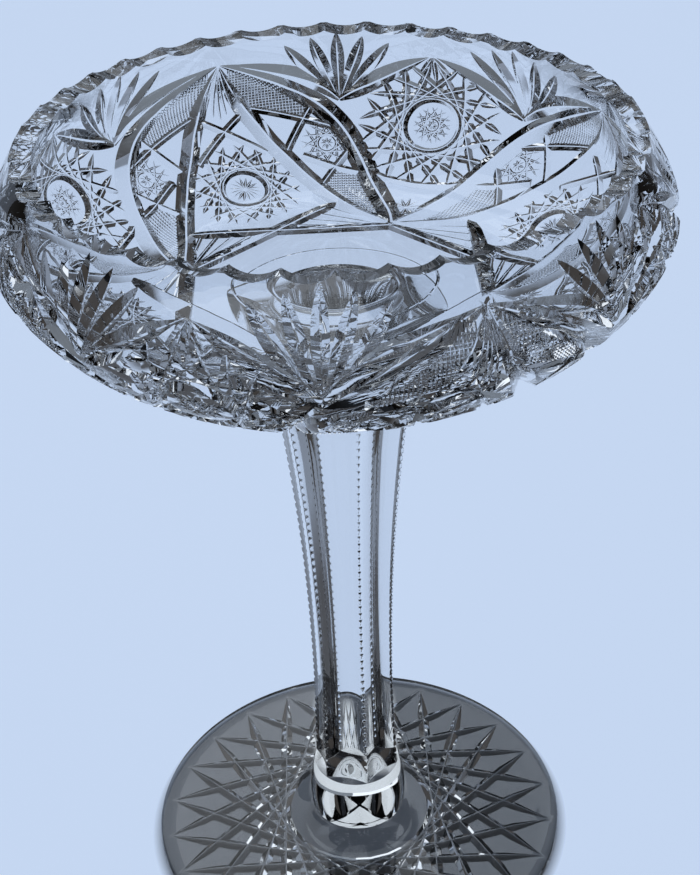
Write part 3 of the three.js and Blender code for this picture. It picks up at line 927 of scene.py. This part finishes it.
def lower_column(turn):
    """From whichever comes last of the upper arc, the bar and the second cross's arm to the lower arc."""
    start, end = column_in_leaf(turn)
    return max(start, np.interp(turn, bar_turns, bar_drops), drop_on(down_second, turn)), end


def hatched(rows, row_ends, columns, column_ends):
    """Fine mitres at even drops and at even turns, each between two ends worked out from it. Those that
    would be too short are left out."""
    made = []
    for drop in rows:
        start, end = row_ends(drop)
        if end - start > shortest_row:
            made += routes(np.linspace(start, end, 4), np.full(4, drop), hatch_width, full, beside_first)
    for turn in columns:
        start, end = column_ends(turn)
        if end - start > shortest_column:
            made += routes(np.full(4, turn), np.linspace(start, end, 4), hatch_width, full, beside_first)
    return made


upper_rows, upper_columns = np.arange(17, 37, hatch_pitch), np.arange(2.4, 19.6, upper_turn_pitch)
lower_rows, lower_columns = np.arange(57, 85, hatch_pitch), np.arange(20.6, 42, lower_turn_pitch)
mitres += hatched(upper_rows, upper_row, upper_columns, upper_column)
mitres += hatched(lower_rows, lower_row, lower_columns, lower_column)


def shared_out(mitres):
    """Shares mitres out among layers, so that those of one layer stay apart: each takes the cells that
    it passes, and as many round them as it is wide, and goes to the first layer that has them free."""
    cell, cells, middle, spare = 1 * mm, (200, 200, 80), [100, 100, 10], 0.3 * mm
    layers, taken = [], []
    for place, outward, depth in mitres:
        way = np.r_[0, np.cumsum(np.linalg.norm(np.diff(place, axis=0), axis=1))]
        spots = np.arange(0, way[-1] + cell, cell)
        passed = np.stack([np.interp(spots, way, place[:, k]) for k in range(3)], -1)
        passed = np.unique(np.round((passed - [0, 0, bowl_base]) / cell).astype(int) + middle, axis=0)
        deepest = (depth * np.linalg.norm(outward, axis=1)).max()
        reach = int(np.ceil((deepest + spare) / cell))
        around = np.stack(np.meshgrid(*[np.arange(-reach, reach + 1)] * 3), -1).reshape(-1, 3)
        own = np.unique(np.ravel_multi_index((passed[:, None] + around).reshape(-1, 3).T, cells))
        layer = next((k for k, grid in enumerate(taken) if not grid[own].any()), len(layers))
        if layer == len(layers):
            layers.append([])
            taken.append(np.zeros(np.prod(cells), dtype=bool))
        layers[layer].append(mitre_bars(place[None], outward[None], depth[None]))
        taken[layer][own] = True
    return layers


# Rim: hollow scallops cut across the glass with a round wheel, deeper towards the inside, and with a
# small flat left between each two
scallop_count, scallop_depth, scallop_gap = 40, 1.5 * mm, 2 * mm
scallop_slope = np.radians(9)
scallop_sides, scallop_reach = 96, np.array([-2, 1])[:, None] * rim_wall
scallop_half = np.pi * rim_radius / scallop_count - scallop_gap / 2
scallop_radius = scallop_half ** 2 / (2 * scallop_depth) + scallop_depth / 2


def scallop_bars(turns):
    """Round bars across the rim: a circle of points in the plane square to the bar, at both of its
    ends, with the bar's lowest line at the scallop's depth at the rim's outer edge, tipped down inwards.
    With w the way along, h the height above that line and p the slope, the way out is w cos p - h sin p
    and the lift is h cos p + w sin p."""
    round_turn = np.arange(scallop_sides) * 2 * np.pi / scallop_sides
    height = scallop_radius + scallop_radius * np.sin(round_turn)
    out = rim_radius + scallop_reach * np.cos(scallop_slope) - height * np.sin(scallop_slope)
    rise = height * np.cos(scallop_slope) + scallop_reach * np.sin(scallop_slope)
    lift = rim_height - scallop_depth + rise
    sideways = scallop_radius * np.cos(round_turn) + 0 * scallop_reach
    parts = []
    for turn in turns:
        x = out * np.cos(turn) - sideways * np.sin(turn)
        y = out * np.sin(turn) + sideways * np.cos(turn)
        parts.append(skin(x, y, lift))
    return joined(parts)


scallop_turns = (np.arange(scallop_count) + 0.5) * 2 * np.pi / scallop_count
cut(bowl, [[scallop_bars(scallop_turns[::2])], [scallop_bars(scallop_turns[1::2])], *shared_out(mitres)])
fused(bowl, bowl_base, neck_radius)
polished(bowl)
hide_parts("bowl")
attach(bowl, "root")
